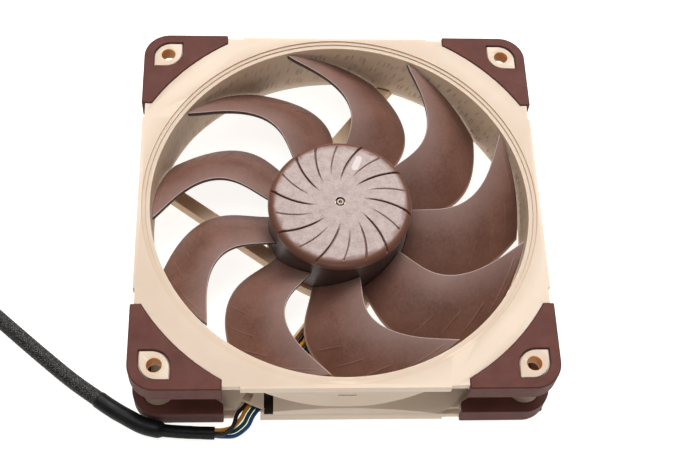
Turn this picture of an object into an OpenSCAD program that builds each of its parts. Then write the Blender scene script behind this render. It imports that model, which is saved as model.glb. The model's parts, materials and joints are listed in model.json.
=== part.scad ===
// Square axial case fan, 120 mm size, lying on its outlet side with the inlet up.
// Origin: centre of the outlet side, on the surface that the fan lies on. +Z is the rotor axis.

/* [Housing] */
// Width of the fan over its corner pads
body_w = 120; // [120:0.5:122]
// Height of the fan over its corner pads
body_h = 25; // [25:0.5:27]
// Distance between screw holes
hole_pitch = 105; // [104:0.5:105.5]
// Radius of each screw hole
hole_r = 2.15; // [1.8:0.05:2.3]
// Radius of the air tunnel
tunnel_r = 56; // [55.8:0.1:56.5]
// Thickness of the inlet flange
inlet_flange_t = 3.15; // [2.5:0.05:3.5]
// Thickness of the outlet flange
outlet_flange_t = 3.95; // [3.5:0.05:4.5]

/* [Corner pads] */
// Height of each pad's outer wall
pad_h = 7; // [6:0.5:8]
// Thickness of the pad over the flange
pad_t = 1; // [0.8:0.1:1.2]
// How far the pads stand proud of the housing
pad_proud = 0.35; // [0.2:0.05:0.5]
// Length of each leg of a pad along the side
pad_leg = 26; // [22:0.5:28]
// Radius of the pad's curved inner edge
pad_arc_r = 66.25; // [66:0.25:68]

/* [Impeller] */
// Number of blades
blades = 9; // [5:1:9]
// Radius of the blade tips
tip_r = 55.4; // [54:0.1:55.4]
// Radius of the hub's rim
hub_r = 21.5; // [20.6:0.1:21.6]
// Height of the hub's flat face
hub_top = 23.6; // [23.2:0.1:24]
// Thickness of a blade's leading edge at its tip
blade_t = 1.9; // [1.2:0.1:2.2]
// Number of grooves in the hub's face
grooves = 18; // [6:2:24]

/* [Motor] */
// Radius of the motor base
base_r = 21.8; // [21.6:0.1:22]
// Radius of the shaft
shaft_r = 1.25; // [1.1:0.05:1.5]
// Radial play between shaft and bearing
running_gap = 0.04; // [0.02:0.01:0.08]
// Outer radius of the stator
stator_r = 15.9; // [15:0.1:15.9]

/* [Lead] */
// Radius of one wire
wire_r = 0.6; // [0.45:0.05:0.6]
// Radius of the braided sleeve
sleeve_r = 2.3; // [2:0.1:2.4]

/* [Hidden] */
PADS = [1, 2, 3, 4];

eps = 0.01;
play = 0.05;                       // gap between pieces that are only laid together
cream = "#ead6c2";
pad_brown = "#6b453d";
blade_brown = "#87625a";
half = body_w / 2;
hole_xy = hole_pitch / 2;
back_z = pad_proud;                // outlet face of the housing
front_z = body_h - pad_proud;      // inlet face of the housing
inlet_low = front_z - inlet_flange_t;
outlet_top = back_z + outlet_flange_t;
flange_half = half - 0.5;
corner_r = 8;
pad_start = half - pad_leg;
pad_wall = 1.5;
pad_lip_t = 1.9;
slab_half = half - pad_wall - play;
slab_r = corner_r - pad_wall;
slab_top = body_h - pad_t - play;
slab_bottom = body_h - pad_h + pad_lip_t + play;
eye_half = 4.35;
eye_r = 5;
eye_gap = 0.25;
step_start = pad_start - 5;
ledge_r = 57.3;                     // lower of the two fine steps round the inlet
ledge_z = front_z - 0.75;
rim_ledge_r = 58.4;
rim_ledge_z = front_z - 0.4;

strut_in = 17.2;
strut_w = 4.2;
strut_top = 4.7;
channel_angle = 233;                // direction of the strut that holds the wires
channel_out = 9.9;
channel_wall = 0.7;
exit_w = 6.7;
exit_floor = 1.4;
base_floor = 1.65;
rim_in = 19.4;
tube_r = 4.8;
shell_r = 3.6;
sleeve_bush_r = 3;

blade_root = 0.55;                  // share of the thickness that is left at the hub
blade_taper = 0.6;                  // share that is lost towards the trailing edge
hub_wall_r = 21;
hub_in_r = 19.2;
hub_bottom = 5;
hub_roof = 21.9;
rim_flat_r = 19.3;
rim_low_z = 21.1;
insert_r = 2.8;
insert_z = 17.6;
insert_top = 22.7;
yoke_out = hub_in_r - play;
yoke_in = 18.35;
magnet_out = yoke_in - play;
magnet_in = 16.3;

core_z = 7.5;
core_t = 5;
tooth_w = 4.4;
insulator_t = 0.8;
board_z = 3;
board_t = 1;
board_r = 18.9;

// Stations along a blade: radius, angle and height of the leading edge, then of the trailing edge
BLADE = [
    [20,   5.9, 13.9, -33.9, 5.8],
    [29,   2.3, 16.7, -30.0, 6.1],
    [38,   4.1, 18.8, -26.3, 6.3],
    [47,  14.7, 20.8, -16.4, 6.5],
    [55.4, 26.1, 22.9, -3.8, 6.8]
];

// The lead's centre line from the bundled wires to the connector: x, y, z
ROUTE = [
    [-36.5, -63.8, 1.8], [-40, -63.7, 1.8], [-44.5, -63.5, 1.9], [-48, -63.3, 2.1],
    [-51.5, -63, 2.5], [-56.8, -61.6, 2.5], [-61.8, -58.9, 2.5], [-66, -56.3, 2.5],
    [-69.8, -53.6, 2.5], [-77.9, -47.6, 2.3], [-86.7, -40.2, 2.3], [-95.5, -32.5, 2.3],
    [-103, -25.8, 2.3], [-110, -19.4, 2.3], [-114.6, -16, 2.3], [-119.9, -14, 2.3],
    [-125.6, -13.5, 2.3], [-131.4, -14.5, 2.3], [-136.8, -17, 2.3], [-141.3, -20.9, 2.3],
    [-144.6, -25.8, 2.3], [-146.5, -31.4, 2.3], [-146.8, -37.4, 2.3], [-145.5, -43.1, 2.4],
    [-142.7, -48.3, 2.5], [-138.5, -52.7, 2.5], [-133.8, -56, 2.5]
];
step_point = 4;                    // where the shrink tube steps up over the sleeve
sleeve_start = 8;
sleeve_end = 24;
route_end = len(ROUTE) - 1;

// One wire's way out: distance along the strut's line, across it, and height
WIRE_RUN = [[9, 0, 2.35], [14, 0, 2.35], [22, 0, 2.3], [32, 0, 2.3], [42, 0, 2.3], [52, -0.1, 2.3]];
wire_across = 11.6;
wire_step = 1.35;
// Free stretch of each wire between housing and shrink tube: x, y, z
WIRE_TAIL = [
    [[-28, -55.6, 2.1], [-30.2, -58.6, 2.9], [-31.2, -62.2, 3.4], [-33.6, -64.4, 2.9]],
    [[-27.2, -56.3, 2.1], [-29.1, -59.4, 1.7], [-31.3, -62, 1.9], [-34.2, -63.1, 2.3]],
    [[-26.1, -57.1, 2.1], [-28.3, -60.6, 0.8], [-31.2, -62.9, 0.7], [-34.3, -63.3, 1.1]],
    [[-25, -57.9, 2], [-27.2, -61.6, 0.9], [-30.6, -64.2, 0.7], [-34.2, -64.6, 1.1]]
];
// Places of the wires in the shrink tube's end face
BUNDLE = [[0.62, 0.62], [-0.62, 0.62], [-0.62, -0.62], [0.62, -0.62]];
PLUG_DIR = [0.819, -0.574, 0];
plug_turn = atan2(PLUG_DIR[1], PLUG_DIR[0]);
plug_w = 10.8;
plug_h = 5.6;
plug_l = 14;
lead_l = 8.5;
pin_pitch = 2.54;

function unit(v) = v / norm(v);

// Lagrange polynomial through the blade's stations, for one of their columns
function share(r, i, j = 0) = j == len(BLADE) ? 1
    : (i == j ? 1 : (r - BLADE[j][0]) / (BLADE[i][0] - BLADE[j][0])) * share(r, i, j + 1);
function along(r, col, i = 0) = i == len(BLADE) ? 0 : BLADE[i][col] * share(r, i) + along(r, col, i + 1);

// Direction of a route at one of its points
function heading(route, i) = unit(route[min(i + 1, len(route) - 1)] - route[max(i - 1, 0)]);

// Ring of points square to a direction
function ring(p, dir, r, sides) = let (side = unit(cross([0, 0, 1], dir)), up = cross(dir, side))
    [for (k = [0:sides - 1]) p + r * (cos(360 * k / sides) * side + sin(360 * k / sides) * up)];

// Closed tube through a list of rings with the same even number of points, all in triangles
module skin(rings) {
    n = len(rings[0]);
    last = len(rings) - 1;
    points = [for (g = rings) each g];
    sides = [for (i = [0:last - 1]) for (k = [0:n - 1])
        each halves(i * n + k, i * n + (k + 1) % n, (i + 1) * n + (k + 1) % n, (i + 1) * n + k)];
    start = [for (k = [0:n / 2 - 2]) each halves(n - 1 - k, n - 2 - k, k + 1, k)];
    end = [for (k = [0:n / 2 - 2])
        each halves(last * n + k, last * n + k + 1, last * n + n - 2 - k, last * n + n - 1 - k)];
    polyhedron(points, concat(sides, start, end), convexity = 6);
}
function halves(a, b, c, d) = [[a, b, c], [a, c, d]];

// Round tube along part of a route, of one radius
module tube(route, r, from, to, sides) {
    skin([for (i = [from:to]) ring(route[i], heading(route, i), r, sides)]);
}

module rounded_square(h, r) {
    square([2 * h, 2 * (h - r)], center = true);
    square([2 * (h - r), 2 * h], center = true);
    for (x = [-1, 1])
        for (y = [-1, 1])
            translate([x * (h - r), y * (h - r)]) circle(r = r, $fn = 64);
}

// Square with its two opposite corners on the diagonal rounded
module eye(h, r) {
    difference() {
        square(2 * h, center = true);
        for (s = [-1, 1]) {
            difference() {
                translate([s * h, s * h]) square(2 * r, center = true);
                translate([s * (h - r), s * (h - r)]) circle(r = r, $fn = 64);
            }
        }
    }
}

// Plan of the corner that a pad covers, grown by a gap
module pad_zone(gap) {
    difference() {
        translate([pad_start - gap, pad_start - gap]) square(pad_leg + 10);
        circle(r = pad_arc_r - gap, $fn = 180);
    }
}

module slab(z0, z1) {
    translate([0, 0, z0]) linear_extrude(height = z1 - z0, convexity = 8) children();
}

// Turns its children to point along the channel that holds the wires
module along_channel() {
    rotate([0, 0, channel_angle]) children();
}

// ---- Housing: one moulding, given as its flanges, tunnel wall, motor mount and struts ----

// Outside of the air tunnel: an hourglass, cut flat by the four sides
module tunnel_outside() {
    intersection() {
        rotate_extrude($fn = 180) polygon([
            [0, outlet_top], [65.5, outlet_top], [63.8, 6], [59.9, 9], [59, 10], [59.9, 11.5],
            [61.5, 16], [62.4, 19], [63.2, inlet_low], [ledge_r, inlet_low], [ledge_r, ledge_z],
            [0, ledge_z]
        ]);
        slab(0, body_h) square(2 * flange_half, center = true);
    }
}

// Air space: flared outlet, straight tunnel and stepped inlet
module tunnel_void() {
    rotate_extrude($fn = 180) polygon([
        [0, -1], [58.7, -1], [58.7, back_z], [57, outlet_top], [tunnel_r, 6.3], [tunnel_r, ledge_z],
        [ledge_r, ledge_z], [ledge_r, rim_ledge_z], [rim_ledge_r, rim_ledge_z],
        [rim_ledge_r, body_h + 1], [0, body_h + 1]
    ]);
}

// Flange on the inlet side; the outlet flange is its mirror image with its own thickness
module flange(t) {
    difference() {
        slab(front_z - t, front_z) rounded_square(flange_half, corner_r);
        for (k = PADS) {
            rotate([0, 0, 90 * k]) slab(slab_top, body_h + 1) pad_zone(play);
            rotate([0, 0, 90 * k]) slab(0, body_h + 1) difference() {
                pad_zone(play);
                rounded_square(slab_half, slab_r);
            }
            for (s = [-1, 1])
                rotate([0, 0, 90 * k]) flange_step(s);
        }
    }
    for (k = PADS) {
        rotate([0, 0, 90 * k]) slab(slab_bottom, slab_top) intersection() {
            rounded_square(slab_half, slab_r);
            translate([pad_start + play, pad_start + play]) square(pad_leg);
        }
        rotate([0, 0, 90 * k]) translate([hole_xy, hole_xy, 0])
            slab(slab_top - 0.5, front_z) eye(eye_half - eye_gap, eye_r);
    }
}

// Small step in the flange's edge beside each pad
module flange_step(s) {
    low = s > 0 ? step_start : -pad_start;
    translate([low, flange_half - 0.6, 0]) cube([5, 2, body_h + 1]);
    translate([low, flange_half - 2, 0]) cube([5, 4, 22.3]);
}

module outlet_side() {
    translate([0, 0, body_h]) mirror([0, 0, 1]) children();
}

// Bar across the outlet, k quarter turns round from the one that holds the wires
module strut(k) {
    color(cream)
    between_walls()
        rotate([0, 0, channel_angle + 90 * k]) strut_bar();
}

module strut_bar() {
    translate([0, strut_in, back_z]) cube([60, strut_w, strut_top - back_z]);
}

// Cuts its children off at the motor mount and at the tunnel
module between_walls() {
    difference() {
        intersection() {
            children();
            tunnel_void();
        }
        translate([0, 0, -1]) cylinder(h = body_h, r = base_r, $fn = 120);
    }
}

// The strut whose trough holds the wires
module wire_strut() {
    color(cream)
    difference() {
        between_walls()
            along_channel() {
                strut_bar();
                translate([10, channel_out, back_z])
                    cube([50, strut_in - channel_out + 1, base_floor - back_z]);
                translate([10, channel_out, back_z]) cube([50, channel_wall, strut_top - back_z]);
            }
        wire_exit();
    }
}

module motor_base() {
    difference() {
        cylinder(h = strut_top, r = base_r, $fn = 120);
        translate([0, 0, base_floor]) cylinder(h = 10, r = rim_in, $fn = 120);
        translate([0, 0, -1]) cylinder(h = back_z + 1, r = base_r + 1, $fn = 120);
        translate([0, 0, back_z - eps]) cylinder(h = 0.15 + eps, r = 17.2, $fn = 120);
    }
}

// Tube that carries the bearing, and the posts under the circuit board
module base_inside() {
    difference() {
        translate([0, 0, base_floor - 0.5]) cylinder(h = 14, r = tube_r, $fn = 60);
        translate([0, 0, base_floor]) cylinder(h = 20, r = shell_r, $fn = 60);
    }
    for (a = [10:80:250])
        rotate([0, 0, a]) translate([16.5, 0, base_floor - 0.5])
            cylinder(h = board_z - base_floor + 0.5, r = 1, $fn = 24);
}

// Way out for the wires: under a bar in the tunnel wall and through the outlet flange
module wire_exit() {
    along_channel() {
        translate([50, 10.3, exit_floor]) cube([30, exit_w, 1.7]);
        difference() {
            translate([54, 10.3, -1]) cube([30, exit_w, 7.6]);
            translate([0, 0, -2]) cylinder(h = 12, r = 61.7, $fn = 180);
        }
        translate([52, 10.3, 7]) cube([16, 2.4, 1.5]);
    }
    translate([-22.5, -62, strut_top + 0.1]) cube([2.6, 14, 7]);
}

module screw_holes() {
    for (x = [-1, 1])
        for (y = [-1, 1])
            translate([x * hole_xy, y * hole_xy, -1]) cylinder(h = body_h + 2, r = hole_r, $fn = 48);
}

module inlet_flange() {
    color(cream)
    difference() {
        flange(inlet_flange_t);
        tunnel_outside();
        tunnel_void();
        screw_holes();
    }
}

// Wall of the air tunnel, with a short dash sunk in its near side
module tunnel_wall() {
    color(cream)
    difference() {
        tunnel_outside();
        tunnel_void();
        wire_exit();
        translate([-2, -flange_half - 1, 18.9]) cube([5, 1.4, 0.8]);
    }
}

module outlet_flange() {
    color(cream)
    difference() {
        outlet_side() flange(outlet_flange_t);
        tunnel_outside();
        tunnel_void();
        screw_holes();
        wire_exit();
    }
}

// Dish that carries the stator, with a way out for the wires in its rim
module motor_mount() {
    color(cream)
    difference() {
        union() {
            motor_base();
            base_inside();
        }
        along_channel() translate([9, 11, base_floor]) cube([12, 5.4, 1.5]);
    }
}

// ---- Corner pads ----

module corner_pad() {
    color(pad_brown)
    difference() {
        slab(body_h - pad_h, body_h) intersection() {
            rounded_square(half, corner_r);
            pad_zone(0);
        }
        slab(body_h - pad_h + pad_lip_t, body_h - pad_t) rounded_square(half - pad_wall, slab_r);
        slab(body_h - pad_h - 1, body_h - pad_h + pad_lip_t + 1) rounded_square(half - 5, 3);
        translate([hole_xy, hole_xy, 0]) slab(body_h - 4, body_h + 1) eye(eye_half, eye_r);
        translate([hole_xy, hole_xy, 0]) cylinder(h = body_h - 4, r = 4.6, $fn = 48);
    }
}

module pad_front(k) {
    rotate([0, 0, 90 * k]) corner_pad();
}

module pad_rear(k) {
    outlet_side() pad_front(k);
}

// ---- Bearing and stator ----

module bearing_shell() {
    color("goldenrod")
    difference() {
        translate([0, 0, base_floor]) cylinder(h = 15.2, r = shell_r, $fn = 60);
        translate([0, 0, base_floor - 1]) cylinder(h = 20, r = sleeve_bush_r, $fn = 60);
    }
}

module bearing_sleeve() {
    color("peru")
    difference() {
        translate([0, 0, 3.3]) cylinder(h = 13.2, r = sleeve_bush_r, $fn = 60);
        cylinder(h = 20, r = shaft_r + running_gap, $fn = 60);
    }
}

module thrust_plate() {
    color("gray") translate([0, 0, base_floor]) cylinder(h = 0.9, r = sleeve_bush_r, $fn = 60);
}

// Laminated core: a ring, four teeth and their curved pole faces
module stator_plan() {
    difference() {
        union() {
            circle(r = 7.2, $fn = 60);
            square([2 * 14.8, tooth_w], center = true);
            square([tooth_w, 2 * 14.8], center = true);
            for (k = [0:3])
                rotate([0, 0, 90 * k]) pole_face();
        }
        circle(r = tube_r, $fn = 60);
    }
}

module pole_face() {
    intersection() {
        difference() {
            circle(r = stator_r, $fn = 120);
            circle(r = stator_r - 1.5, $fn = 120);
        }
        polygon([[0, 0], [30, -20], [30, 20]]);
    }
}

module stator_core() {
    color("silver") slab(core_z, core_z + core_t) stator_plan();
}

// Moulded insulator: ring, tooth covers and a guard wall outside each coil
module insulator() {
    slab(core_z - insulator_t, core_z) difference() {
        union() {
            circle(r = 7.4, $fn = 60);
            square([2 * 14.2, tooth_w], center = true);
            square([tooth_w, 2 * 14.2], center = true);
        }
        circle(r = tube_r + play, $fn = 60);
    }
    for (k = [0:3])
        rotate([0, 0, 90 * k]) translate([13.4, -4.5, core_z - 2.6]) cube([0.8, 9, 2.6]);
}

module insulator_lower() {
    color("ivory") insulator();
}

module insulator_upper() {
    color("ivory") translate([0, 0, 2 * core_z + core_t]) mirror([0, 0, 1]) insulator();
}

// Winding round one tooth
module coil(k) {
    color("chocolate")
    rotate([0, 0, 90 * k])
    difference() {
        translate([7.9, -4.5, core_z - 2.6]) cube([5.4, 9, core_t + 5.2]);
        translate([7, -tooth_w / 2 - play, core_z - insulator_t - play])
            cube([8, tooth_w + 2 * play, core_t + 2 * insulator_t + 2 * play]);
        for (y = [-4.5, 4.5])
            for (z = [core_z - 2.6, core_z + core_t + 2.6])
                translate([10, y, z]) rotate([45, 0, 0]) cube([10, 2, 2], center = true);
    }
}

module circuit_board() {
    color("darkgreen")
    difference() {
        translate([0, 0, board_z]) cylinder(h = board_t, r = board_r, $fn = 120);
        translate([0, 0, board_z - 1]) cylinder(h = 4, r = tube_r + 0.2, $fn = 60);
    }
}

module driver_chip() {
    color("black") rotate([0, 0, 45]) translate([9.6, -2.5, board_z + board_t]) cube([4, 5, 1.4]);
}

module hall_sensor() {
    color("black") rotate([0, 0, -45]) translate([15.6, -1.5, board_z + board_t]) cube([1.6, 3, 1]);
}

// Small resistors and capacitors on the board
module board_components() {
    color("tan") {
        for (a = [125, 145, 215, 235])
            rotate([0, 0, a]) translate([10.5, -0.6, board_z + board_t]) cube([2, 1.2, 0.9]);
        for (a = [-65, 25, 65])
            rotate([0, 0, a]) translate([15, -0.4, board_z + board_t]) cube([1.6, 0.8, 0.6]);
    }
}

module rear_label() {
    color("lightgray") translate([0, 0, back_z + 0.05]) cylinder(h = 0.1, r = 17, $fn = 120);
}

// ---- Lead ----

// One wire's whole route, from the board to the shrink tube
function wire_route(i) = concat(
    [for (p = WIRE_RUN) turned(p[0], p[1] + wire_across + i * wire_step, p[2])],
    WIRE_TAIL[i],
    [bundle_end(i)]
);
function turned(x, y, z) = [
    x * cos(channel_angle) - y * sin(channel_angle),
    x * sin(channel_angle) + y * cos(channel_angle),
    z
];
function bundle_end(i) = let (dir = heading(ROUTE, 0), side = unit(cross([0, 0, 1], dir)))
    ROUTE[0] + BUNDLE[i][0] * side + BUNDLE[i][1] * cross(dir, side);

// The last ring lies in the end face of the shrink tube
module wire(i) {
    route = wire_route(i);
    last = len(route) - 1;
    skin([for (k = [0:last]) ring(route[k], k == last ? heading(ROUTE, 0) : heading(route, k), wire_r, 8)]);
}

module wire_black() {
    color("black") wire(0);
}

module wire_yellow() {
    color("orange") wire(1);
}

module wire_green() {
    color("darkgreen") wire(2);
}

module wire_blue() {
    color("navy") wire(3);
}

// Shrink tube: narrow over the bare wires, wide where it holds the sleeve
module heat_shrink() {
    narrow = [for (i = [0:step_point - 1]) ring(ROUTE[i], heading(ROUTE, i), 1.8, 12)];
    step = [for (r = [1.8, sleeve_r + 0.2])
        ring(ROUTE[step_point] + (r - 2.1) * heading(ROUTE, step_point), heading(ROUTE, step_point), r, 12)];
    wide = [for (i = [step_point + 1:sleeve_start]) ring(ROUTE[i], heading(ROUTE, i), sleeve_r + 0.2, 12)];
    color("black") skin(concat(narrow, step, wide));
}

module cable_sleeve() {
    color("dimgray") tube(ROUTE, sleeve_r, sleeve_start, sleeve_end, 12);
}

module connector_shrink() {
    color("black") tube(ROUTE, sleeve_r + 0.2, sleeve_end, route_end, 12);
}

// Turned and placed at the end of the route, with X along the plug
module at_plug() {
    end = ROUTE[route_end];
    translate([end[0], end[1], 0]) rotate([0, 0, plug_turn]) children();
}

module connector_leads() {
    color("dimgray") at_plug()
        for (i = [0:3]) {
            near = (i - 1.5) * 1.15;
            far = (i - 1.5) * pin_pitch;
            middle = (near + far) / 2;
            run = [[0, near, 2.5], [2, near, 2.5], [4.5, middle, 2.6], [7, far, 2.8], [lead_l, far, 2.8]];
            skin([for (k = [0:4])
                ring(run[k], k == 0 || k == 4 ? [1, 0, 0] : heading(run, k), 0.55, 8)]);
        }
}

module connector_housing() {
    color("black") at_plug() translate([lead_l, 0, 0])
        difference() {
            union() {
                translate([0, -plug_w / 2, 0]) cube([plug_l, plug_w, plug_h]);
                for (y = [-2.6, 2.6])
                    translate([4, y - 0.5, plug_h - eps]) cube([plug_l - 4, 1, 0.8]);
            }
            for (i = [0:3])
                translate([plug_l - 9, (i - 1.5) * pin_pitch - 0.8, 2]) cube([10, 1.6, 1.6]);
        }
}

// Crimped contacts deep in the housing's four cells
module connector_terminals() {
    color("gold") at_plug()
        for (i = [0:3])
            translate([lead_l + plug_l - 9, (i - 1.5) * pin_pitch, 2.8])
                difference() {
                    translate([0, -0.75, -0.75]) cube([7.5, 1.5, 1.5]);
                    translate([1, -0.35, -0.35]) cube([10, 0.7, 0.7]);
                }
}

// ---- Rotor ----

// Blade section at one radius: lower side from leading to trailing edge, then back along the top
function blade_ring(r) = let (
    lead_a = along(r, 1), lead_z = along(r, 2), trail_a = along(r, 3), trail_z = along(r, 4),
    chord = [0, 0.04, 0.14, 0.3, 0.5, 0.7, 0.86, 0.97, 1],
    n = len(chord) - 1
) [for (k = [0:2 * n + 1])
    let (
        s = chord[k <= n ? k : 2 * n + 1 - k],
        up = k <= n ? -1 : 1,
        a = lead_a + (trail_a - lead_a) * s,
        bow = 0.3 * s * (1 - s),
        z = lead_z + (trail_z - lead_z) * (s - bow),
        outward = (r - hub_wall_r) / (tip_r - hub_wall_r),
        t = blade_t * (blade_root + (1 - blade_root) * outward) * (1 - blade_taper * s)
    )
    [r * cos(a), r * sin(a), z + up * t / 2]];

module blade() {
    root = hub_wall_r - 0.6;
    span = tip_r - root;
    skin([for (f = [0, 0.08, 0.2, 0.35, 0.5, 0.65, 0.8, 0.92, 1]) blade_ring(root + f * span)]);
}

// Cup with a flat face, a rounded overhanging rim and a boss for the shaft's insert
module hub() {
    rim = [for (a = [90:-15:0]) [rim_flat_r + (hub_r - rim_flat_r) * cos(a),
        rim_low_z + (hub_top - rim_low_z) * sin(a)]];
    difference() {
        union() {
            difference() {
                rotate_extrude($fn = 180) polygon(concat(
                    [[0, hub_bottom], [0, hub_top]], rim,
                    [[hub_wall_r, rim_low_z - 0.6], [hub_wall_r, hub_bottom]]
                ));
                translate([0, 0, hub_bottom - 1])
                    cylinder(h = hub_roof - hub_bottom + 1, r = hub_in_r, $fn = 120);
            }
            translate([0, 0, insert_z]) cylinder(h = hub_roof - insert_z + 0.5, r = 4.6, $fn = 60);
        }
        translate([0, 0, insert_z - 1]) cylinder(h = insert_top - insert_z + 1, r = insert_r, $fn = 60);
        cylinder(h = 30, r = shaft_r + 0.25, $fn = 60);
    }
}

// One curved groove in the hub's face, deeper and wider on every second one
module groove(k) {
    w = k % 2 == 0 ? 0.7 : 0.4;
    depth = k % 2 == 0 ? 0.7 : 0.4;
    rotate([0, 0, 10 + 360 * k / grooves]) translate([9.67, -21.5, hub_top - depth])
        rotate([0, 0, 61]) rotate_extrude(angle = 30, $fn = 120) translate([24 - w / 2, 0]) square([w, 2]);
}

module impeller() {
    color(blade_brown)
    union() {
        difference() {
            hub();
            for (k = [0:grooves - 1])
                groove(k);
        }
        for (k = [0:blades - 1])
            rotate([0, 0, 360 * k / blades]) blade();
    }
}

module rotor_yoke() {
    color("dimgray")
    difference() {
        translate([0, 0, hub_bottom + 0.6]) cylinder(h = 15.8, r = yoke_out, $fn = 120);
        translate([0, 0, hub_bottom]) cylinder(h = 15.8, r = yoke_in, $fn = 120);
        cylinder(h = 30, r = 12, $fn = 90);
    }
}

module ring_magnet() {
    color("darkslategray")
    difference() {
        translate([0, 0, hub_bottom + 0.8]) cylinder(h = 11, r = magnet_out, $fn = 120);
        cylinder(h = 30, r = magnet_in, $fn = 120);
    }
}

module shaft_insert() {
    color("goldenrod")
    difference() {
        translate([0, 0, insert_z + 0.2]) cylinder(h = insert_top - insert_z - 0.2, r = insert_r, $fn = 60);
        cylinder(h = 30, r = shaft_r, $fn = 60);
    }
}

// Shaft with a clip groove at its foot and a centre hole in its upper end
module shaft() {
    color("lightsteelblue")
    rotate_extrude($fn = 60) polygon([
        [0, 2.6], [shaft_r - 0.3, 2.6], [shaft_r - 0.3, 3.15], [shaft_r, 3.15], [shaft_r, 23.2],
        [shaft_r - 0.25, 23.45], [0.5, 23.45], [0, 22.9]
    ]);
}

module shaft_clip() {
    color("gray")
    difference() {
        translate([0, 0, 2.75]) cylinder(h = 0.35, r = 2.2, $fn = 48);
        cylinder(h = 10, r = shaft_r - 0.3, $fn = 48);
        translate([1.5, 0, 0]) cube([3, 0.8, 20], center = true);
    }
}

inlet_flange();
tunnel_wall();
outlet_flange();
motor_mount();
strut(1);  // strut_1
strut(2);  // strut_2
strut(3);  // strut_3
wire_strut();
bearing_shell();
bearing_sleeve();
thrust_plate();
stator_core();
insulator_upper();
insulator_lower();
coil(1);  // coil_1
coil(2);  // coil_2
coil(3);  // coil_3
coil(4);  // coil_4
circuit_board();
driver_chip();
hall_sensor();
board_components();
rear_label();
pad_front(1);  // pad_front_1
pad_front(2);  // pad_front_2
pad_front(3);  // pad_front_3
pad_front(4);  // pad_front_4
pad_rear(1);  // pad_rear_1
pad_rear(2);  // pad_rear_2
pad_rear(3);  // pad_rear_3
pad_rear(4);  // pad_rear_4
wire_black();
wire_yellow();
wire_green();
wire_blue();
heat_shrink();
cable_sleeve();
connector_shrink();
connector_leads();
connector_housing();
connector_terminals();
impeller();
rotor_yoke();
ring_magnet();
shaft_insert();
shaft();
shaft_clip();
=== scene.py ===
"""Case fan: looks, lead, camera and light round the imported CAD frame. Blender 4.5."""
import json
import math

import bmesh
import bpy
from mathutils import Matrix, Vector, noise


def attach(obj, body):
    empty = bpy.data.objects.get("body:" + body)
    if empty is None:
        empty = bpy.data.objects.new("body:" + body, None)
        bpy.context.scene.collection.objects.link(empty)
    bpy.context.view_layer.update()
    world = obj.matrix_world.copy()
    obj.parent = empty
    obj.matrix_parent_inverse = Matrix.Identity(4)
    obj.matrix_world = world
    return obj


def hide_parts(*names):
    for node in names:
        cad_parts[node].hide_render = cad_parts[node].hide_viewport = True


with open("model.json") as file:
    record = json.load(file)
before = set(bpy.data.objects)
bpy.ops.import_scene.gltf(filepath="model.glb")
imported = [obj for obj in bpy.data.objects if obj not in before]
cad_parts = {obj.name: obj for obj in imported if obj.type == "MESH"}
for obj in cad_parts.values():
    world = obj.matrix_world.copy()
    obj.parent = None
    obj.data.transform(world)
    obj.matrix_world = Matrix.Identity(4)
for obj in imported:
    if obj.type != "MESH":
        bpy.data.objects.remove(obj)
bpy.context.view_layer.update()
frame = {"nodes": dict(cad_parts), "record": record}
NODES = frame["nodes"]
MM = 0.001
# Points nearer than this, in millimetres, are made one
MERGE = 0.002
HOUSING = "housing"
ROTOR = "rotor"


# ---------------------------------------------------------------- camera, floor, light

# Where the camera looks from and to: degrees, millimetres, and the lens for a 36 mm wide sensor
VIEW_AZIMUTH = 6.88
VIEW_ELEVATION = 60.57
VIEW_ROLL = 6.08
VIEW_DISTANCE = 381.3
VIEW_TARGET = (0.1, -2.15, 12.5)
VIEW_LENS = 66.84
SENSOR_WIDTH = 36
# Each light's place and its two sides in metres, its power in watts and its colour
LIGHTS = {
    "key": ((0.24, 0.78, 1.2), (1.0, 0.8), 24, (1, 0.985, 0.97)),
    "top": ((-0.3, 0.1, 1.4), (0.8, 0.8), 8.5, (1, 0.99, 0.98)),
    "front": ((-0.1, -1.2, 0.3), (1.0, 0.4), 2.6, (1, 0.99, 0.98)),
}
# Half the floor's width, and how far it lies under the frame's zero height, in metres
FLOOR_HALF = 1.6
FLOOR_DROP = 0.0001
# The direction the room's light mostly comes from, and its strength away from it and towards it
ROOM_TILT = (-0.2, 0.5, 0.85)
ROOM_STRENGTH = (0.2, 0.38)


def make_camera():
    data = bpy.data.cameras.new("camera")
    data.sensor_width = SENSOR_WIDTH
    data.lens = VIEW_LENS
    data.clip_start = 0.01
    data.clip_end = 20
    data.dof.use_dof = False
    cam = bpy.data.objects.new("camera", data)
    bpy.context.scene.collection.objects.link(cam)
    az, el = math.radians(VIEW_AZIMUTH), math.radians(VIEW_ELEVATION)
    forward = Vector((math.sin(az) * math.cos(el), math.cos(az) * math.cos(el), -math.sin(el)))
    level = forward.to_track_quat("-Z", "Y")
    cam.rotation_mode = "QUATERNION"
    cam.rotation_quaternion = level @ Matrix.Rotation(math.radians(VIEW_ROLL), 3, "Z").to_quaternion()
    cam.location = (Vector(VIEW_TARGET) - forward * VIEW_DISTANCE) * MM
    bpy.context.scene.camera = cam


def area_light(name, place, size, power, colour):
    """Rectangular light that looks at the middle of the floor."""
    data = bpy.data.lights.new(name, "AREA")
    data.shape = "RECTANGLE"
    data.size, data.size_y = size
    data.energy = power
    data.color = colour
    light = bpy.data.objects.new(name, data)
    bpy.context.scene.collection.objects.link(light)
    light.location = place
    light.rotation_euler = (-Vector(place)).to_track_quat("-Z", "Y").to_euler()


make_camera()


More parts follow.
